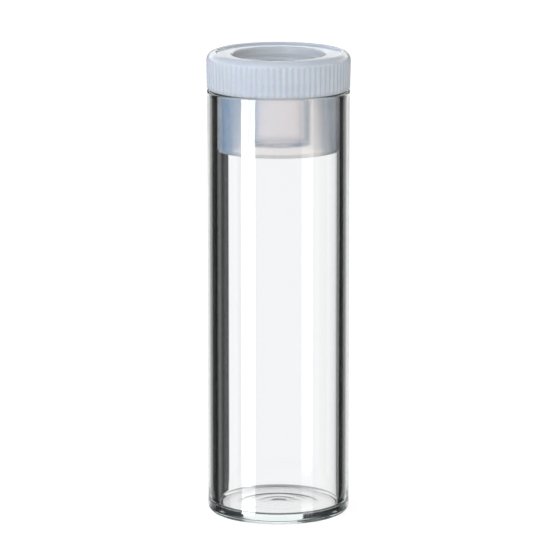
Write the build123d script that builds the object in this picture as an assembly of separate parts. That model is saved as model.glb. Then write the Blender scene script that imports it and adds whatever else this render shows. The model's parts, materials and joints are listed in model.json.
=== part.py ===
from build123d import *
import math
import os

# A small sample vial: a straight glass tube with a rolled lip and a closed base, and the moulded
# stopper that is pushed into its mouth. Millimetres, +Z up, origin under the middle of the base.

# Glass tube
tube_diameter = 14.65
tube_wall = 1.00
vial_length = 44.60

# Closed base: a flat ring to stand on, a faint push-up inside it and a heel that swells a little
base_thickness = 0.95
floor_corner_radius = 0.40
push_up_depth = 0.02
push_up_slope_width = 0.45
push_up_blend_radius = 0.80
standing_ring_width = 3.00
heel_swell = 0.03
heel_height = 1.05
heel_run_out = 1.20
heel_corner_radius = 0.75
heel_blend_radius = 4.00

# Lip: softened by fire, a little wider than the tube, flat enough on top for the stopper's head to seat
lip_flare = 0.03
lip_height = 0.40
lip_run_in = 0.30
lip_blend_radius = 0.60
lip_shoulder_radius = 0.30
lip_crown_radius = 0.30
mouth_radius = 0.30

# Stopper head: a knurled disc with a bead round its top, a flat ring inside the bead and a round recess
head_overhang = 0.135
head_draft = 0.09
head_height = 3.83
head_top_radius = 0.90
head_foot_radius = 0.22
bead_width = 1.00
bead_height = 0.22
bead_draft = 0.08
bead_crest_radius = 0.06
bead_foot_radius = 0.10
top_rim_width = 2.65
recess_depth = 1.10
recess_draft = 0.10
recess_edge_radius = 0.22
recess_corner_radius = 0.30

# Knurl: shallow round-bottomed grooves down the side of the head, with narrow lands between them
groove_count = 74
groove_width = 0.43
groove_depth = 0.10

# Stopper plug: a skirt that fills the bore, open below round a central well
plug_clearance = 0.03
plug_length = 6.25
plug_root_radius = 0.12
lead_in_height = 0.42
lead_in_depth = 0.16
lead_in_radius = 0.25
skirt_root_wall = 1.55
skirt_mouth_wall = 1.10
skirt_mouth_radius = 0.10
web_thickness = 1.20
cavity_gap = 1.50
cavity_corner_radius = 0.40
well_wall = 0.50
well_floor = 0.30
well_foot_lift = 0.80
well_corner_radius = 0.40
well_foot_radius = 0.30
well_edge_radius = 0.20

# How far a cutting shape runs past what it cuts
cut_overrun = 0.50

# Radii and heights that follow from the sizes above
tube_radius = tube_diameter / 2
bore_radius = tube_radius - tube_wall
heel_radius = tube_radius + heel_swell
lip_radius = tube_radius + lip_flare
push_up_outer_radius = tube_radius - standing_ring_width
push_up_inner_radius = push_up_outer_radius - push_up_slope_width

head_top = vial_length + head_height
head_radius = tube_radius + head_overhang
head_foot = head_radius - head_draft
bead_inner_radius = head_radius - bead_width
bead_inner_foot = bead_inner_radius - bead_draft
ring_level = head_top - bead_height
recess_floor = head_top - recess_depth
recess_mouth_radius = head_radius - top_rim_width
recess_floor_radius = recess_mouth_radius - recess_draft

plug_radius = bore_radius - plug_clearance
plug_bottom = vial_length - plug_length
plug_nose_radius = plug_radius - lead_in_depth
skirt_root_radius = plug_radius - skirt_root_wall
skirt_mouth_inner_radius = plug_radius - skirt_mouth_wall
cavity_roof = recess_floor - web_thickness
well_outer_radius = skirt_root_radius - cavity_gap
well_inner_radius = well_outer_radius - well_wall
well_foot = plug_bottom + well_foot_lift
well_bottom = well_foot + well_floor


def turned(corners):
    """The solid swept round +Z by a closed outline of (radius, height, corner rounding) rows."""
    points = [(radius, height) for radius, height, rounding in corners]
    roundings = [rounding for radius, height, rounding in corners]
    outline = FilletPolyline(*points, radius=roundings, close=True)
    return revolve(Plane.XZ * make_face(outline), axis=Axis.Z)


def make_glass_vial():
    """One wall of glass, followed from the middle of the underside, up the outside and down the bore."""
    return turned([
        (0, push_up_depth, 0),
        (push_up_inner_radius, push_up_depth, push_up_blend_radius),
        (push_up_outer_radius, 0, push_up_blend_radius),
        (heel_radius, 0, heel_corner_radius),
        (heel_radius, heel_height, heel_blend_radius),
        (tube_radius, heel_height + heel_run_out, heel_blend_radius),
        (tube_radius, vial_length - lip_height - lip_run_in, lip_blend_radius),
        (lip_radius, vial_length - lip_height, lip_shoulder_radius),
        (lip_radius, vial_length, lip_crown_radius),
        (bore_radius, vial_length, mouth_radius),
        (bore_radius, base_thickness, floor_corner_radius),
        (0, base_thickness, 0),
    ])


def make_stopper_blank():
    """The stopper before its knurl: from the well, over the head, down the plug and up the cavity."""
    return turned([
        (0, well_bottom, 0),
        (well_inner_radius, well_bottom, well_corner_radius),
        (well_inner_radius, recess_floor, well_edge_radius),
        (recess_floor_radius, recess_floor, recess_corner_radius),
        (recess_mouth_radius, ring_level, recess_edge_radius),
        (bead_inner_foot, ring_level, bead_foot_radius),
        (bead_inner_radius, head_top, bead_crest_radius),
        (head_radius, head_top, head_top_radius),
        (head_foot, vial_length, head_foot_radius),
        (plug_radius, vial_length, plug_root_radius),
        (plug_radius, plug_bottom + lead_in_height, lead_in_radius),
        (plug_nose_radius, plug_bottom, skirt_mouth_radius),
        (skirt_mouth_inner_radius, plug_bottom, skirt_mouth_radius),
        (skirt_root_radius, cavity_roof, cavity_corner_radius),
        (well_outer_radius, cavity_roof, cavity_corner_radius),
        (well_outer_radius, well_foot, well_foot_radius),
        (0, well_foot, 0),
    ])


def make_groove_cutters():
    """Round bars that lean with the draft of the head, one for each groove of the knurl."""
    bar_radius = (groove_width ** 2 / 4 + groove_depth ** 2) / (2 * groove_depth)
    bar_place = (head_radius + head_foot) / 2 + bar_radius - groove_depth
    bar_lean = math.degrees(math.atan2(head_draft, head_height))
    bar = Cylinder(bar_radius, head_height + 2 * cut_overrun)
    leaning_bar = Pos(bar_place, 0, vial_length + head_height / 2) * Rot(0, bar_lean, 0) * bar
    return [turn * leaning_bar for turn in PolarLocations(0, groove_count)]


def make_stopper():
    """The moulded stopper with its knurled head."""
    return make_stopper_blank() - make_groove_cutters()


os.makedirs("parts", exist_ok=True)
export_step(make_glass_vial(), "parts/glass_vial.step")
export_step(make_stopper(), "parts/stopper.step")
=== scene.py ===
"""The looks of a small glass sample vial with a push-in stopper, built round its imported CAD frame."""

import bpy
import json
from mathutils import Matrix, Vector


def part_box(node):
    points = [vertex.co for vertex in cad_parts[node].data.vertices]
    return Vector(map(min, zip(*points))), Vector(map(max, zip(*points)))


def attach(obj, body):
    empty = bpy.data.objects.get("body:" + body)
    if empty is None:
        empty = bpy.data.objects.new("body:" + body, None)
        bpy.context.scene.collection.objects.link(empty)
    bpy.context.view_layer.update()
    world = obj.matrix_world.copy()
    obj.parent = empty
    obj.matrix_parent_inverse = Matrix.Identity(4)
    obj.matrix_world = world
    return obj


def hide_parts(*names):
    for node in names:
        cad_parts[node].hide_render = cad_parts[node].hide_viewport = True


bl_info = {
    "name": "Glass sample vial",
    "version": (1, 0, 0),
    "blender": (4, 5, 0),
    "location": "3D View > Sidebar > Vial",
    "description": "Models the glass and the stopper of a sample vial, and the stage it is looked at on",
    "category": "Mesh",
}

import json
import math

import bmesh
import bpy
from bpy.props import FloatProperty, FloatVectorProperty, IntProperty, PointerProperty
from bpy.types import NodeSocket, Operator, Panel, PropertyGroup, Scene
from mathutils import Matrix, Vector

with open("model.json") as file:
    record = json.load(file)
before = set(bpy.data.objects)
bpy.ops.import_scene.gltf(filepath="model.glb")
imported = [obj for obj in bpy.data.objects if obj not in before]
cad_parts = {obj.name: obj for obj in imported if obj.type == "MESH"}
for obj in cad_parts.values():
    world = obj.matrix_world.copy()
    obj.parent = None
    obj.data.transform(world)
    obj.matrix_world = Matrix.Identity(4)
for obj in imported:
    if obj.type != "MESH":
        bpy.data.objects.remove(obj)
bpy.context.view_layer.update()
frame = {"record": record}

MM = 0.001
VIAL_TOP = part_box("glass_vial")[1]
STOPPER_LOW, STOPPER_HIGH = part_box("stopper")
TUBE_MOUNT = next(row for row in frame["record"]["mounts"] if row["name"] == "tube_outside")
TUBE_RADIUS_MM = TUBE_MOUNT["dims"]["r_mm"]
LIP_FLARE_MM = VIAL_TOP.x / MM - TUBE_RADIUS_MM

# Small steps and roundings of the glass
STANDING_RING_WIDTH = 3.00 * MM
PUSH_UP_SLOPE_WIDTH = 0.45 * MM
PUSH_UP_ROUNDING = 0.80 * MM
HEEL_ROUNDING = 0.75 * MM
HEEL_HEIGHT = 1.05 * MM
HEEL_RUN_OUT_HEIGHT = 2.25 * MM
HEEL_BLEND_ROUNDING = 4.00 * MM
LIP_RUN_IN_DEPTH = 0.70 * MM
LIP_HEIGHT = 0.40 * MM
LIP_BLEND_ROUNDING = 0.60 * MM
LIP_ROUNDING = 0.30 * MM
FLOOR_CORNER_ROUNDING = 0.40 * MM

# Marks in the glass floor: rings that fade outwards, and a shallow dent in the middle
RIPPLE_REACH = 5.2 * MM
RING_FADE_RADIUS = 4.8 * MM
RING_SPACING = 1.1 * MM
RING_SHARE = 0.6
DENT_SHARE = 12
DENT_OFFSET = 0.2 * MM
DENT_REACH_X = 2.4 * MM
DENT_REACH_Y = 1.7 * MM

# Small steps and roundings of the stopper
BEAD_WIDTH = 1.00 * MM
BEAD_DRAFT = 0.08 * MM
BEAD_FOOT_ROUNDING = 0.10 * MM
BEAD_CREST_ROUNDING = 0.06 * MM
HEAD_TOP_ROUNDING = 0.90 * MM
HEAD_FOOT_ROUNDING = 0.22 * MM
RECESS_DRAFT = 0.10 * MM
RECESS_EDGE_ROUNDING = 0.22 * MM
RECESS_CORNER_ROUNDING = 0.30 * MM
PLUG_CLEARANCE = 0.03 * MM
PLUG_ROOT_ROUNDING = 0.12 * MM
LEAD_IN_HEIGHT = 0.42 * MM
LEAD_IN_DEPTH = 0.16 * MM
LEAD_IN_ROUNDING = 0.25 * MM
SKIRT_MOUTH_WALL = 1.10 * MM
SKIRT_MOUTH_ROUNDING = 0.10 * MM
WEB_THICKNESS = 1.20 * MM
CAVITY_GAP = 1.50 * MM
CAVITY_ROUNDING = 0.40 * MM
WELL_LIFT = 0.80 * MM
WELL_FLOOR = 0.30 * MM
WELL_CORNER_ROUNDING = 0.40 * MM
WELL_FOOT_ROUNDING = 0.30 * MM
WELL_EDGE_ROUNDING = 0.20 * MM

# Fineness of the meshes: turn of an arc's segment, steps round the tube and a groove, longest edges
ARC_STEP = math.radians(7)
TUBE_STEPS = 360
GROOVE_STEPS = 6
FLOOR_EDGE = 0.10 * MM
WALL_EDGE = 1.00 * MM
LEVEL_TOLERANCE = 1e-6
MERGE_DISTANCE = 1e-7

# Strip lamps: name, degrees from the front, width, foot, height, share of the radiance, piece they light
STRIPS = (
    ("main_strip", -50, 0.149, -0.081, 0.493, 1, "clear_glass_tube"),
    ("main_strip_foot", -50, 0.149, -0.088, 0.007, 1 / 3, "clear_glass_tube"),
    ("side_strip", 47.5, 0.126, -0.079, 0.499, 1 / 6, "clear_glass_tube"),
    ("side_strip_foot", 47.5, 0.126, -0.083, 0.004, 1 / 16, "clear_glass_tube"),
    ("head_strip", -30, 0.05, -0.126, 0.3, 1 / 3, "moulded_stopper"),
)
STRIP_DISTANCE = 0.35

# A ray through the tube, the stopper and the tube again meets a dozen surfaces
BOUNCES = 32

# Sizes of the patterns in the materials
DRAWN_LINE_SPACING = 2.5 * MM
DRAWN_LINE_LENGTH = 62.5 * MM
DRAWN_LINE_RELIEF = 0.05 * MM
MELT_CLOUD_SIZE = 2.0 * MM
MOULD_GRAIN_SIZE = 0.2 * MM
MOULD_GRAIN_RELIEF = 0.02 * MM
SCATTER_LENGTH = 0.6 * MM

# Where the look of the plastic changes: up from the plug into the head, and in from the rim to the recess,
# whose thin floor over the hollow is painted darker, partly as painted shade
THIN_BELOW = 44.0 * MM
THICK_ABOVE = 45.2 * MM
RIM_BEYOND = 4.95 * MM
RECESS_SHADE_WITHIN = 4.78 * MM

# Shades of the studio
WHITE = (1, 1, 1, 1)
FLOOR_SHADOW = (0.3, 0.3, 0.3, 1)
FLOOR_BOUNCE = (1, 0.96, 0.91, 1)
ROOM = (0.38, 0.42, 0.50, 1)
LEVEL_SHADE = (0.25, 0.25, 0.25, 1)
BORE_SHADE = (0.04, 0.04, 0.04, 1)
ROOF_SHADE = (0.08, 0.08, 0.08, 1)
ROOF_IN_MIRROR = (1.3, 1.2, 1.2, 1)
TABLE_SHADE = (0.13, 0.15, 0.145, 1)
STEEP_MILK = (0.64, 0.68, 0.73, 1)

# Counts of surfaces passed and of mirrors met, told apart half-way between whole numbers
IN_GLASS, PAST_BORE, IN_PLUG = 0.5, 2.5, 4.5
MIRRORED, MIRRORED_TWICE = 0.5, 1.5
SCATTERED = 0.5


def linear(code):
    """An sRGB hex value as the linear red, green and blue that Blender works in."""
    shares = [int(code[place:place + 2], 16) / 255 for place in (1, 3, 5)]
    return [share / 12.92 if share <= 0.04045 else ((share + 0.055) / 1.055) ** 2.4 for share in shares]


def length(name, description, default_mm):
    """A property for a length of the object, given in millimetres and kept in metres."""
    return FloatProperty(
        name=name,
        description=description,
        default=default_mm * MM,
        unit="LENGTH",
        precision=5,
    )


def colour(name, description, code):
    """A property for a colour, given as an sRGB hex value."""
    return FloatVectorProperty(
        name=name,
        description=description,
        default=linear(code),
        subtype="COLOR",
        min=0,
        max=1,
    )


class VialSizes(PropertyGroup):
    """Sizes of the glass, taken from the frame where it gives them."""

    tube_radius: length("Tube radius", "Outside of the straight wall", TUBE_RADIUS_MM)
    tube_wall: length("Tube wall", "Thickness of the straight wall", 1.00)
    height: length("Height", "From the standing ring to the lip", VIAL_TOP.z / MM)
    base_thickness: length("Base thickness", "Standing ring to the floor inside", 0.95)
    push_up_depth: length("Push-up depth", "How far the middle of the underside is lifted", 0.02)
    heel_swell: length("Heel swell", "How far the heel stands proud of the tube", 0.03)
    lip_flare: length("Lip flare", "How far the lip stands proud of the tube", LIP_FLARE_MM)
    floor_wave: length("Floor wave", "Measure of the marks left in the floor as it was closed", 0.006)


class StopperSizes(PropertyGroup):
    """Sizes of the stopper, taken from the frame where it gives them."""

    head_overhang: length("Head overhang", "How far the head stands proud of the tube", 0.135)
    head_draft: length("Head draft", "How much narrower the head is at its foot", 0.09)
    head_top: length("Head top", "Height of the top of the head", STOPPER_HIGH.z / MM)
    plug_bottom: length("Plug bottom", "Height of the mouth of the skirt", STOPPER_LOW.z / MM)
    top_rim_width: length("Top rim width", "From the edge of the head to the recess", 2.65)
    bead_height: length("Bead height", "How far the bead round the top stands above the flat ring", 0.22)
    recess_depth: length("Recess depth", "Depth of the round recess in the top", 1.10)
    skirt_wall: length("Skirt wall", "Thickness of the skirt at its root", 1.55)
    well_wall: length("Well wall", "Thickness of the wall of the central well", 0.50)
    groove_count: IntProperty(
        name="Groove count",
        description="Grooves of the knurl round the head",
        default=74,
        min=12,
    )
    groove_width: length("Groove width", "Width of a groove of the knurl", 0.43)
    groove_depth: length("Groove depth", "Depth of a groove of the knurl", 0.10)


class Finishes(PropertyGroup):
    """Colours of the two materials."""

    glass_depth: colour("Glass in depth", "What long paths in the glass let through", "#00D6C4")
    glass_absorption: FloatProperty(
        name="Glass absorption",
        description="How fast the glass takes colour, per metre",
        default=7,
        min=0,
    )
    plastic: colour("Plastic", "Milky polyethylene in scattered light", "#DFE6EB")
    plastic_shade: colour("Plastic shade", "The same where the melt is a little clearer", "#DBE3E9")
    # Painted shade: the darker colour of the recess, partly for the thinner plastic over the hollow and
    # partly for the shade that falls in it
    plastic_web_and_recess_shade: colour("Plastic web", "The same over the hollow, which throws less light back", "#D2D6D7")
    plastic_thin: colour("Thin plastic", "The same where it is thin and light comes through", "#FDFCFD")


class StageLook(PropertyGroup):
    """Floor, light and camera."""

    floor: colour("Floor", "Plain pale floor", "#E6E6E6")
    floor_size: FloatProperty(
        name="Floor size",
        description="Half the side of the floor",
        default=1.5,
        unit="LENGTH",
    )
    strip_radiance: FloatProperty(
        name="Strip radiance",
        description="Brightness of the main strip lamp in the glass",
        default=16,
        min=0,
    )
    lens: FloatProperty(
        name="Lens",
        description="Focal length of the camera in millimetres",
        default=310.75,
        min=1,
    )
    camera_distance: FloatProperty(
        name="Camera distance",
        description="From the axis of the vial",
        default=0.489,
        unit="LENGTH",
    )
    camera_height: FloatProperty(
        name="Camera height",
        description="Above the floor",
        default=0.1233,
        unit="LENGTH",
    )
    camera_pitch: FloatProperty(
        name="Camera pitch",
        description="How far the camera looks down",
        default=math.radians(11.41),
        subtype="ANGLE",
    )


class VialSettings(PropertyGroup):
    """All that the panel shows."""

    vial: PointerProperty(type=VialSizes)
    stopper: PointerProperty(type=StopperSizes)
    finishes: PointerProperty(type=Finishes)
    stage: PointerProperty(type=StageLook)


def add(tree, kind, inputs=None, stops=(), **settings):
    """Adds a node with its settings, sets each input to a value or links it, and gives the node's outputs.
    A Mix node of colours has its share at input 0, its colours at 6 and 7 and its result at output 2."""
    node = tree.nodes.new(kind)
    for name, value in settings.items():
        setattr(node, name, value)
    for key, value in (inputs or {}).items():
        if isinstance(value, NodeSocket):
            tree.links.new(value, node.inputs[key])
        else:
            node.inputs[key].default_value = value
    for index, (position, shade) in enumerate(stops):
        if index >= len(node.color_ramp.elements):
            node.color_ramp.elements.new(position)
        node.color_ramp.elements[index].position = position
        node.color_ramp.elements[index].color = (*shade, 1)
    return node.outputs


def rounded_outline(corners):
    """A wire in the XZ plane through (radius, height, rounding) corners, each bevelled to its rounding."""
    wire = bmesh.new()
    places = [Vector((radius, 0, height)) for radius, height, rounding in corners]
    points = [wire.verts.new(place) for place in places]
    for start, end in zip(points, points[1:]):
        wire.edges.new((start, end))
    for index in range(1, len(corners) - 1):
        turn = (places[index] - places[index - 1]).angle(places[index + 1] - places[index])
        bmesh.ops.bevel(
            wire,
            geom=[points[index]],
            offset=corners[index][2] * math.tan(turn / 2),
            offset_type="OFFSET",
            affect="VERTICES",
            segments=max(2, math.ceil(turn / ARC_STEP)),
            profile=0.5,
            material=-1,
        )
    return wire


def split_long_edges(wire, longest, chosen):
    """Cuts the chosen edges of a wire into pieces of at most the given length."""
    for edge in [edge for edge in wire.edges if chosen(edge)]:
        cuts = math.ceil(edge.calc_length() / longest) - 1
        if cuts > 0:
            bmesh.ops.subdivide_edges(wire, edges=[edge], cuts=cuts)


def spin_round(mesh, angle, steps, **options):
    """Spins all of a bmesh round +Z."""
    bmesh.ops.spin(
        mesh,
        geom=mesh.verts[:] + mesh.edges[:] + mesh.faces[:],
        axis=(0, 0, 1),
        cent=(0, 0, 0),
        dvec=(0, 0, 0),
        angle=angle,
        steps=steps,
        **options,
    )


def finish_piece(mesh, name, material, body, node):
    """Turns a bmesh into a smooth piece that rides on its body in place of its CAD node."""
    bmesh.ops.remove_doubles(mesh, verts=mesh.verts[:], dist=MERGE_DISTANCE)
    bmesh.ops.recalc_face_normals(mesh, faces=mesh.faces[:])
    open_edges = sum(1 for edge in mesh.edges if len(edge.link_faces) != 2)
    if open_edges:
        raise RuntimeError(f"{name} has {open_edges} open edges")
    for face in mesh.faces:
        face.smooth = True
    data = bpy.data.meshes.new(name)
    mesh.to_mesh(data)
    mesh.free()
    data.materials.append(material)
    piece = bpy.data.objects.new(name, data)
    bpy.context.scene.collection.objects.link(piece)
    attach(piece, body)
    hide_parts(node)


def drawn_glass(finishes):
    """Clear glass drawn as tube and closed in a flame: no roughness, faint lines along the draw, and a
    little green that shows only where light has come a long way through it, at the heel, lip and edges."""
    material = bpy.data.materials.new("drawn_clear_glass")
    material.use_nodes = True
    tree = material.node_tree
    tree.nodes.clear()
    place = add(tree, "ShaderNodeTexCoord")["Object"]
    along = add(tree, "ShaderNodeMapping", {
        "Vector": place,
        "Scale": (1 / DRAWN_LINE_SPACING, 1 / DRAWN_LINE_SPACING, 1 / DRAWN_LINE_LENGTH),
    })["Vector"]
    lines = add(tree, "ShaderNodeTexNoise", {
        "Vector": along,
        "Scale": 1,
        "Detail": 2,
        "Roughness": 0.45,
    })["Fac"]
    relief = add(tree, "ShaderNodeBump", {
        "Height": lines,
        "Strength": 0.03,
        "Distance": DRAWN_LINE_RELIEF,
    })["Normal"]
    surface = add(tree, "ShaderNodeBsdfPrincipled", {
        "Base Color": WHITE,
        "Roughness": 0,
        "IOR": 1.5,
        "Transmission Weight": 1,
        "Normal": relief,
    })["BSDF"]
    depth = add(tree, "ShaderNodeVolumeAbsorption", {
        "Color": (*finishes.glass_depth, 1),
        "Density": finishes.glass_absorption,
    })["Volume"]
    add(tree, "ShaderNodeOutputMaterial", {"Surface": surface, "Volume": depth})
    return material


def milky_polyethylene(finishes):
    """Natural low-density polyethylene from a mould: milky and bluish where it scatters light back, warmer
    where light comes through, thin enough in the plug to show the well inside, with a soft sheen; the recess
    is painted darker, partly for the thinner plastic over the hollow and partly as painted shade."""
    material = bpy.data.materials.new("moulded_milky_polyethylene")
    material.use_nodes = True
    tree = material.node_tree
    tree.nodes.clear()
    place = add(tree, "ShaderNodeTexCoord")["Object"]
    clouds = add(tree, "ShaderNodeTexNoise", {
        "Vector": place,
        "Scale": 1 / MELT_CLOUD_SIZE,
        "Detail": 3,
    })["Fac"]
    tone = add(tree, "ShaderNodeValToRGB", {"Fac": clouds}, stops=[
        (0.25, finishes.plastic_shade),
        (0.75, finishes.plastic),
    ])["Color"]
    grain = add(tree, "ShaderNodeTexNoise", {
        "Vector": place,
        "Scale": 1 / MOULD_GRAIN_SIZE,
        "Detail": 2,
    })["Fac"]
    relief = add(tree, "ShaderNodeBump", {
        "Height": grain,
        "Strength": 0.15,
        "Distance": MOULD_GRAIN_RELIEF,
    })["Normal"]
    # The head is thick and hides what is behind it, the plug is thin and shows it
    height = add(tree, "ShaderNodeSeparateXYZ", {"Vector": place})["Z"]
    thick = add(tree, "ShaderNodeMapRange", {
        "Value": height,
        "From Min": THIN_BELOW,
        "From Max": THICK_ABOVE,
    }, interpolation_type="SMOOTHSTEP")["Result"]
    gloss = add(tree, "ShaderNodeMapRange", {"Value": thick, "To Min": 0.18, "To Max": 0.22})["Result"]
    # Light that is already in the plastic leaves it anywhere
    leaving = add(tree, "ShaderNodeNewGeometry")["Backfacing"]
    hidden = add(tree, "ShaderNodeMath", {
        0: thick,
        1: leaving,
    }, operation="SUBTRACT", use_clamp=True)["Value"]
    clear = add(tree, "ShaderNodeMapRange", {"Value": hidden, "To Min": 0.985, "To Max": 0.15})["Result"]
    # Painted shade: the recess over the hollow gets a darker colour, partly for the thinner plastic there
    # and partly for the shade that falls in it
    across = add(tree, "ShaderNodeVectorMath", {0: place, 1: (1, 1, 0)}, operation="MULTIPLY")["Vector"]
    radius = add(tree, "ShaderNodeVectorMath", {0: across}, operation="LENGTH")["Value"]
    web_and_recess_shade = add(tree, "ShaderNodeMapRange", {
        "Value": radius,
        "From Min": RIM_BEYOND,
        "From Max": RECESS_SHADE_WITHIN,
    })["Result"]
    solid = add(tree, "ShaderNodeMix", {
        0: web_and_recess_shade,
        6: tone,
        7: (*finishes.plastic_web_and_recess_shade, 1),
    }, data_type="RGBA")[2]
    shade = add(tree, "ShaderNodeMix", {
        0: thick,
        6: (*finishes.plastic_thin, 1),
        7: solid,
    }, data_type="RGBA")[2]
    surface = add(tree, "ShaderNodeBsdfPrincipled", {
        "Base Color": shade,
        "Roughness": gloss,
        "IOR": 1.51,
        "Transmission Weight": clear,
        "Subsurface Weight": 0.6,
        "Subsurface Radius": (1.0, 0.72, 0.5),
        "Subsurface Scale": SCATTER_LENGTH,
        "Normal": relief,
    })["BSDF"]
    add(tree, "ShaderNodeOutputMaterial", {"Surface": surface})
    return material


def floor_ripple(x, y, sizes):
    """How far the glass floor stands above or below its level: rings round the middle and a dent in it."""
    radius = math.hypot(x, y)
    fade = max(0.0, 1 - (radius / RING_FADE_RADIUS) ** 4)
    rings = math.cos(2 * math.pi * radius / RING_SPACING)
    dent = math.exp(-(((x - DENT_OFFSET) / DENT_REACH_X) ** 2 + (y / DENT_REACH_Y) ** 2))
    return sizes.floor_wave * (RING_SHARE * fade * rings - DENT_SHARE * dent)


class VIAL_OT_glass(Operator):
    """Model the glass: one wall from the underside, over heel, tube and lip, down the bore to the floor"""

    bl_idname = "vial.glass"
    bl_label = "Glass"

    def execute(self, context):
        sizes = context.scene.sample_vial.vial
        bore = sizes.tube_radius - sizes.tube_wall
        heel = sizes.tube_radius + sizes.heel_swell
        lip = sizes.tube_radius + sizes.lip_flare
        ring = sizes.tube_radius - STANDING_RING_WIDTH
        top = sizes.height
        glass = rounded_outline([
            (0, sizes.push_up_depth, 0),
            (ring - PUSH_UP_SLOPE_WIDTH, sizes.push_up_depth, PUSH_UP_ROUNDING),
            (ring, 0, PUSH_UP_ROUNDING),
            (heel, 0, HEEL_ROUNDING),
            (heel, HEEL_HEIGHT, HEEL_BLEND_ROUNDING),
            (sizes.tube_radius, HEEL_RUN_OUT_HEIGHT, HEEL_BLEND_ROUNDING),
            (sizes.tube_radius, top - LIP_RUN_IN_DEPTH, LIP_BLEND_ROUNDING),
            (lip, top - LIP_HEIGHT, LIP_ROUNDING),
            (lip, top, LIP_ROUNDING),
            (bore, top, LIP_ROUNDING),
            (bore, sizes.base_thickness, FLOOR_CORNER_ROUNDING),
            (0, sizes.base_thickness, 0),
        ])

        def on_floor(point):
            return abs(point.co.z - sizes.base_thickness) < LEVEL_TOLERANCE

        split_long_edges(glass, FLOOR_EDGE, lambda edge: all(on_floor(end) for end in edge.verts))
        split_long_edges(glass, WALL_EDGE, lambda edge: True)
        spin_round(glass, 2 * math.pi, TUBE_STEPS, use_merge=True)
        for point in glass.verts:
            if on_floor(point) and math.hypot(*point.co.xy) < RIPPLE_REACH:
                point.co.z += floor_ripple(point.co.x, point.co.y, sizes)
        material = drawn_glass(context.scene.sample_vial.finishes)
        finish_piece(glass, "clear_glass_tube", material, "vial", "glass_vial")
        return {"FINISHED"}


class VIAL_OT_stopper(Operator):
    """Model the stopper: one pitch of the knurl with the whole section behind it, repeated round the axis"""

    bl_idname = "vial.stopper"
    bl_label = "Stopper"

    def execute(self, context):
        vial = context.scene.sample_vial.vial
        sizes = context.scene.sample_vial.stopper
        head = vial.tube_radius + sizes.head_overhang
        foot = head - sizes.head_draft
        bead = head - BEAD_WIDTH
        flat = sizes.head_top - sizes.bead_height
        recess = head - sizes.top_rim_width
        recess_floor = sizes.head_top - sizes.recess_depth
        plug = vial.tube_radius - vial.tube_wall - PLUG_CLEARANCE
        skirt = plug - sizes.skirt_wall
        roof = recess_floor - WEB_THICKNESS
        well = skirt - CAVITY_GAP
        well_bore = well - sizes.well_wall
        well_foot = sizes.plug_bottom + WELL_LIFT
        well_floor = well_foot + WELL_FLOOR
        stopper = rounded_outline([
            (0, well_floor, 0),
            (well_bore, well_floor, WELL_CORNER_ROUNDING),
            (well_bore, recess_floor, WELL_EDGE_ROUNDING),
            (recess - RECESS_DRAFT, recess_floor, RECESS_CORNER_ROUNDING),
            (recess, flat, RECESS_EDGE_ROUNDING),
            (bead - BEAD_DRAFT, flat, BEAD_FOOT_ROUNDING),
            (bead, sizes.head_top, BEAD_CREST_ROUNDING),
            (head, sizes.head_top, HEAD_TOP_ROUNDING),
            (foot, vial.height, HEAD_FOOT_ROUNDING),
            (plug, vial.height, PLUG_ROOT_ROUNDING),
            (plug, sizes.plug_bottom + LEAD_IN_HEIGHT, LEAD_IN_ROUNDING),
            (plug - LEAD_IN_DEPTH, sizes.plug_bottom, SKIRT_MOUTH_ROUNDING),
            (plug - SKIRT_MOUTH_WALL, sizes.plug_bottom, SKIRT_MOUTH_ROUNDING),
            (skirt, roof, CAVITY_ROUNDING),
            (well, roof, CAVITY_ROUNDING),
            (well, well_foot, WELL_FOOT_ROUNDING),
            (0, well_foot, 0),
        ])
        pitch = 2 * math.pi / sizes.groove_count
        half_back = Matrix.Rotation(-pitch / 2, 3, "Z")
        bmesh.ops.rotate(stopper, cent=(0, 0, 0), matrix=half_back, verts=stopper.verts[:])
        spin_round(stopper, pitch, GROOVE_STEPS)
        # A round bar that leans with the draft presses the groove into the middle of the pitch
        bar = (sizes.groove_width ** 2 / 4 + sizes.groove_depth ** 2) / (2 * sizes.groove_depth)
        middle = (vial.height + sizes.head_top) / 2
        lean = sizes.head_draft / (sizes.head_top - vial.height)
        for point in stopper.verts:
            if point.co.z > vial.height and abs(point.co.y) < bar:
                bar_axis = (head + foot) / 2 + bar - sizes.groove_depth + lean * (point.co.z - middle)
                point.co.x = min(point.co.x, bar_axis - math.sqrt(bar ** 2 - point.co.y ** 2))
        spin_round(stopper, 2 * math.pi - pitch, sizes.groove_count - 1, use_duplicate=True)
        material = milky_polyethylene(context.scene.sample_vial.finishes)
        finish_piece(stopper, "moulded_stopper", material, "stopper", "stopper")
        return {"FINISHED"}


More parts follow.
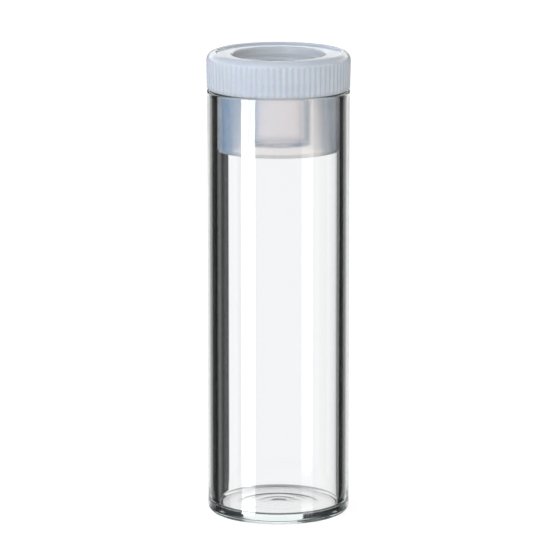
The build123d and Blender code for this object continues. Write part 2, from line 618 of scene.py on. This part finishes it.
def build_floor(stage):
    """A plain pale floor that the camera sees as white with the shadow left in it, that throws light up on
    the object, and that the glass looks past."""
    mesh = bmesh.new()
    bmesh.ops.create_grid(mesh, x_segments=1, y_segments=1, size=stage.floor_size)
    data = bpy.data.meshes.new("studio_floor")
    mesh.to_mesh(data)
    mesh.free()
    floor = bpy.data.objects.new("studio_floor", data)
    bpy.context.scene.collection.objects.link(floor)
    floor.visible_glossy = False
    floor.visible_transmission = False
    material = bpy.data.materials.new("pale_paper_floor")
    material.use_nodes = True
    tree = material.node_tree
    tree.nodes.clear()
    seen = add(tree, "ShaderNodeLightPath")["Is Camera Ray"]
    paper = add(tree, "ShaderNodeBsdfDiffuse", {"Color": (*stage.floor, 1)})["BSDF"]
    shadow = add(tree, "ShaderNodeBsdfDiffuse", {"Color": FLOOR_SHADOW})["BSDF"]
    glow = add(tree, "ShaderNodeEmission", {"Color": WHITE, "Strength": 0.87})["Emission"]
    white = add(tree, "ShaderNodeAddShader", {0: shadow, 1: glow})["Shader"]
    bounce = add(tree, "ShaderNodeEmission", {"Color": FLOOR_BOUNCE, "Strength": 0.44})["Emission"]
    table = add(tree, "ShaderNodeAddShader", {0: paper, 1: bounce})["Shader"]
    mixed = add(tree, "ShaderNodeMixShader", {0: seen, 1: table, 2: white})["Shader"]
    add(tree, "ShaderNodeOutputMaterial", {"Surface": mixed})
    data.materials.append(material)


def walls(tree, turn, rows):
    """Shades round the vial, from (degrees, shade) rows over a part of the turn that repeats all round."""
    start, span = rows[0][0], rows[-1][0] - rows[0][0]
    low, high = math.radians(start), math.radians(start + span)
    angle = add(tree, "ShaderNodeMath", {0: turn, 1: high, 2: low}, operation="WRAP")["Value"]
    share = add(tree, "ShaderNodeMapRange", {"Value": angle, "From Min": low, "From Max": high})["Result"]
    stops = [((degrees - start) / span, shade) for degrees, shade in rows]
    return add(tree, "ShaderNodeValToRGB", {"Fac": share}, stops=stops)["Color"]


def grey(rows):
    """The same rows with their shades as greys."""
    return [(degrees, (shade,) * 3) for degrees, shade in rows]


def light_on_object(tree, direction):
    """Soft light that is brighter and cooler from the front left."""
    lean = add(tree, "ShaderNodeVectorMath", {
        0: direction,
        1: (-0.61, -0.76, 0.20),
    }, operation="DOT_PRODUCT")["Value"]
    share = add(tree, "ShaderNodeMapRange", {"Value": lean, "From Min": -1, "From Max": 1})["Result"]
    return add(tree, "ShaderNodeValToRGB", {"Fac": share}, stops=[
        (0.2, (0.02, 0.02, 0.02)),
        (0.5, (0.47, 0.445, 0.41)),
        (1.0, (1.26, 1.33, 1.55)),
    ])["Color"]


def mirrored_outside(tree, axes, turn, front):
    """What the outside of the pieces mirrors: bright sky above, grey at their level, and lower down a pale
    wall behind them and the room in front."""
    wall = walls(tree, turn, grey([
        (-90, 0.05), (-34, 0.10), (-27, 0.35), (-20, 0.75), (-10, 1.0),
        (10, 1.0), (20, 0.75), (27, 0.35), (34, 0.10), (90, 0.05)]))
    round_it = add(tree, "ShaderNodeMix", {0: front, 6: wall, 7: ROOM}, data_type="RGBA")[2]
    below = add(tree, "ShaderNodeMapRange", {
        "Value": axes["Z"],
        "From Min": -0.15,
        "From Max": -0.18,
    })["Result"]
    low_half = add(tree, "ShaderNodeMix", {
        0: below,
        6: LEVEL_SHADE,
        7: round_it,
    }, data_type="RGBA")[2]
    sky = add(tree, "ShaderNodeMapRange", {
        "Value": axes["Z"],
        "From Min": 0.3,
        "From Max": 0.45,
        "To Min": 2.1,
        "To Max": 0.8,
    })["Result"]
    above = add(tree, "ShaderNodeMapRange", {
        "Value": axes["Z"],
        "From Min": 0.10,
        "From Max": 0.16,
    })["Result"]
    return add(tree, "ShaderNodeMix", {0: above, 6: low_half, 7: sky}, data_type="RGBA")[2]


def seen_in_glass(tree, ray, axes, turn, front):
    """What comes through the glass: white walls with dark boards between them, which draw its edges."""
    # Straight through, by way of the wall's own mirror, off the bore and round inside the base
    straight = walls(tree, turn, grey([
        (-36, 0.010), (-34, 0.010), (-29, 0.27), (-23, 0.20), (-20, 0.10), (-17.5, 0.015),
        (-11, 0.010), (-10.3, 1.0), (21.5, 1.0), (22.7, 0.25), (27, 0.45), (34, 0.5),
        (36, 1.0), (53.5, 1.0), (54, 0.010)]))
    in_wall = walls(tree, turn, grey([
        (-45, 0.005), (-33, 0.015), (-28, 0.03), (-23.5, 0.15), (-18, 0.3), (-14, 0.5), (-11, 0.8),
        (-9, 1.0), (15, 1.0), (18, 0.75), (23.5, 0.20), (28, 0.12), (33, 0.03), (45, 0.005)]))
    off_bore = walls(tree, turn, grey([
        (-90, 0.04), (-66, 0.04), (-62, 1.0), (-29, 1.0), (-26, 0.04), (58, 0.04), (62, 1.0), (90, 1.0)]))
    round_base = walls(tree, turn, grey([
        (-45, 0.45), (-40, 0.45), (-36, 0.03), (-14, 0.03), (-13, 1.0),
        (20, 1.0), (21, 0.03), (36, 0.03), (40, 0.45), (45, 0.45)]))

    # How often the ray was mirrored, and whether it has crossed the bore
    mirrored = add(tree, "ShaderNodeMath", {
        0: ray["Glossy Depth"],
        1: MIRRORED,
    }, operation="GREATER_THAN")["Value"]
    once = add(tree, "ShaderNodeMath", {
        0: ray["Glossy Depth"],
        1: MIRRORED_TWICE,
    }, operation="LESS_THAN")["Value"]
    behind = add(tree, "ShaderNodeMath", {
        0: ray["Transmission Depth"],
        1: PAST_BORE,
    }, operation="GREATER_THAN")["Value"]
    in_bore = add(tree, "ShaderNodeMix", {
        0: once,
        6: BORE_SHADE,
        7: off_bore,
    }, data_type="RGBA")[2]
    # What the floor mirrors goes up
    up = add(tree, "ShaderNodeMapRange", {"Value": axes["Z"], "From Max": 0.05, "To Max": 0.7})["Result"]
    in_floor = add(tree, "ShaderNodeMix", {0: up, 6: in_bore, 7: straight}, data_type="RGBA")[2]
    in_base = add(tree, "ShaderNodeMix", {0: once, 6: round_base, 7: in_wall}, data_type="RGBA")[2]
    by_wall = add(tree, "ShaderNodeMix", {0: behind, 6: in_base, 7: in_floor}, data_type="RGBA")[2]
    by_room = add(tree, "ShaderNodeMix", {0: front, 6: by_wall, 7: ROOM}, data_type="RGBA")[2]

    # Far above it is dark, but bright in a mirror, and far below is the shade of the table
    high = add(tree, "ShaderNodeMapRange", {
        "Value": axes["Z"],
        "From Min": 0.5,
        "From Max": 0.7,
    })["Result"]
    low = add(tree, "ShaderNodeMapRange", {
        "Value": axes["Z"],
        "From Min": -0.40,
        "From Max": -0.52,
    })["Result"]
    by_mirror = add(tree, "ShaderNodeMix", {
        0: high,
        6: by_room,
        7: ROOF_IN_MIRROR,
    }, data_type="RGBA")[2]
    roofed = add(tree, "ShaderNodeMix", {
        0: high,
        6: straight,
        7: ROOF_SHADE,
    }, data_type="RGBA")[2]
    through = add(tree, "ShaderNodeMix", {0: mirrored, 6: roofed, 7: by_mirror}, data_type="RGBA")[2]
    return add(tree, "ShaderNodeMix", {
        0: low,
        6: through,
        7: TABLE_SHADE,
    }, data_type="RGBA")[2]


def seen_in_plastic(tree, ray, axes, turn):
    """What comes through the plug: cool on the left, creamy behind, grey on the right, pale elsewhere."""
    pale, cool = (0.58, 0.62, 0.66), (0.17, 0.36, 0.61)
    sides = walls(tree, turn, [
        (-180, pale), (-72, pale), (-60, cool), (-26, cool),
        (-12, (0.95, 0.94, 0.94)), (16, (0.99, 0.92, 0.85)),
        (28, (0.25, 0.29, 0.33)), (60, (0.22, 0.28, 0.34)), (72, pale), (180, pale)])
    steep = add(tree, "ShaderNodeMapRange", {
        "Value": axes["Z"],
        "From Min": -0.27,
        "From Max": -0.36,
    })["Result"]
    milky = add(tree, "ShaderNodeMix", {
        0: steep,
        6: sides,
        7: STEEP_MILK,
    }, data_type="RGBA")[2]
    # The walls of the well gather light
    gathered = add(tree, "ShaderNodeMapRange", {
        "Value": ray["Transmission Depth"],
        "From Min": 8,
        "From Max": 12,
        "To Min": 0.95,
        "To Max": 1.25,
    })["Result"]
    return add(tree, "ShaderNodeVectorMath", {0: milky, "Scale": gathered}, operation="SCALE")["Vector"]


def build_world():
    """A soft studio: the camera sees white, the object is lit from the front left, and the glass and plug
    see what stands round them, told apart by how many surfaces a ray has passed."""
    world = bpy.data.worlds.new("soft_studio")
    world.use_nodes = True
    tree = world.node_tree
    tree.nodes.clear()
    ray = add(tree, "ShaderNodeLightPath")
    direction = add(tree, "ShaderNodeTexCoord")["Generated"]
    axes = add(tree, "ShaderNodeSeparateXYZ", {"Vector": direction})
    turn = add(tree, "ShaderNodeMath", {0: axes["X"], 1: axes["Y"]}, operation="ARCTAN2")["Value"]
    front = add(tree, "ShaderNodeMapRange", {
        "Value": axes["Y"],
        "From Min": -0.15,
        "From Max": -0.35,
    })["Result"]

    light = light_on_object(tree, direction)
    outside = mirrored_outside(tree, axes, turn, front)
    glass = seen_in_glass(tree, ray, axes, turn, front)
    plastic = seen_in_plastic(tree, ray, axes, turn)

    # A ray passes no surface to mirror on the outside, four through the tube, and more through the plug
    inside = add(tree, "ShaderNodeMath", {
        0: ray["Transmission Depth"],
        1: IN_GLASS,
    }, operation="GREATER_THAN")["Value"]
    deep = add(tree, "ShaderNodeMath", {
        0: ray["Transmission Depth"],
        1: IN_PLUG,
    }, operation="GREATER_THAN")["Value"]
    by_side = add(tree, "ShaderNodeMix", {0: inside, 6: outside, 7: glass}, data_type="RGBA")[2]
    by_depth = add(tree, "ShaderNodeMix", {0: deep, 6: by_side, 7: plastic}, data_type="RGBA")[2]
    unscattered = add(tree, "ShaderNodeMath", {
        0: ray["Diffuse Depth"],
        1: SCATTERED,
    }, operation="LESS_THAN")["Value"]
    shiny = add(tree, "ShaderNodeMath", {
        0: ray["Is Glossy Ray"],
        1: ray["Is Transmission Ray"],
    }, operation="MAXIMUM")["Value"]
    by_glass = add(tree, "ShaderNodeMath", {0: unscattered, 1: shiny}, operation="MULTIPLY")["Value"]
    lit = add(tree, "ShaderNodeMix", {0: by_glass, 6: light, 7: by_depth}, data_type="RGBA")[2]
    seen = add(tree, "ShaderNodeMix", {0: ray["Is Camera Ray"], 6: lit, 7: WHITE}, data_type="RGBA")[2]
    background = add(tree, "ShaderNodeBackground", {"Color": seen, "Strength": 1})["Background"]
    add(tree, "ShaderNodeOutputWorld", {"Surface": background})
    bpy.context.scene.world = world


def build_strip(name, azimuth, width, foot, height, radiance, piece):
    """A strip lamp that is turned to the axis of the vial and lights one piece, flagged off the rest."""
    lamp = bpy.data.lights.new(name, "AREA")
    lamp.shape = "RECTANGLE"
    lamp.size, lamp.size_y = width, height
    lamp.energy = radiance * math.pi * width * height
    strip = bpy.data.objects.new(name, lamp)
    bpy.context.scene.collection.objects.link(strip)
    middle = Vector((0, 0, foot + height / 2))
    outward = Vector((math.sin(azimuth), -math.cos(azimuth), 0))
    strip.location = middle + STRIP_DISTANCE * outward
    strip.rotation_euler = (-outward).to_track_quat("-Z", "Y").to_euler()
    strip.visible_camera = False
    strip.visible_diffuse = False
    strip.visible_transmission = False
    strip.visible_volume_scatter = False
    lit = bpy.data.collections.new(name + "_lights")
    lit.objects.link(bpy.data.objects[piece])
    strip.light_linking.receiver_collection = lit


def build_camera(stage):
    """The photo's place and angle; the lens is long, so the sides of the tube stay nearly parallel."""
    data = bpy.data.cameras.new("photo_camera")
    data.lens = stage.lens
    data.sensor_width = 36
    data.clip_start, data.clip_end = 0.01, 20
    camera = bpy.data.objects.new("photo_camera", data)
    bpy.context.scene.collection.objects.link(camera)
    camera.location = (0, -stage.camera_distance, stage.camera_height)
    camera.rotation_euler = (math.pi / 2 - stage.camera_pitch, 0, 0)
    bpy.context.scene.camera = camera


class VIAL_OT_stage(Operator):
    """Set the stage: pale floor, soft light, strip lamps that the pieces mirror, and the camera"""

    bl_idname = "vial.stage"
    bl_label = "Stage"

    def execute(self, context):
        stage = context.scene.sample_vial.stage
        build_floor(stage)
        build_world()
        for name, degrees, width, foot, height, share, piece in STRIPS:
            radiance = share * stage.strip_radiance
            build_strip(name, math.radians(degrees), width, foot, height, radiance, piece)
        build_camera(stage)
        context.scene.cycles.max_bounces = BOUNCES
        context.scene.cycles.transmission_bounces = BOUNCES
        context.scene.cycles.glossy_bounces = BOUNCES
        context.scene.view_settings.view_transform = "Standard"
        return {"FINISHED"}


class VIAL_PT_panel(Panel):
    """Sizes, colours and steps of the vial"""

    bl_idname = "VIAL_PT_panel"
    bl_label = "Glass sample vial"
    bl_space_type = "VIEW_3D"
    bl_region_type = "UI"
    bl_category = "Vial"

    def draw(self, context):
        settings = context.scene.sample_vial
        for operator in (VIAL_OT_glass, VIAL_OT_stopper, VIAL_OT_stage):
            self.layout.operator(operator.bl_idname)
        for group in (settings.vial, settings.stopper, settings.finishes, settings.stage):
            box = self.layout.box()
            for name in group.__annotations__:
                box.prop(group, name)


CLASSES = (
    VialSizes,
    StopperSizes,
    Finishes,
    StageLook,
    VialSettings,
    VIAL_OT_glass,
    VIAL_OT_stopper,
    VIAL_OT_stage,
    VIAL_PT_panel,
)


def register():
    """Adds the classes and the settings to Blender."""
    for kind in CLASSES:
        bpy.utils.register_class(kind)
    Scene.sample_vial = PointerProperty(type=VialSettings)


def unregister():
    """Takes them out again."""
    del Scene.sample_vial
    for kind in reversed(CLASSES):
        bpy.utils.unregister_class(kind)


def main():
    """Builds the pieces and the stage in order."""
    register()
    bpy.ops.vial.glass()
    bpy.ops.vial.stopper()
    bpy.ops.vial.stage()


if __name__ == "__main__":
    main()
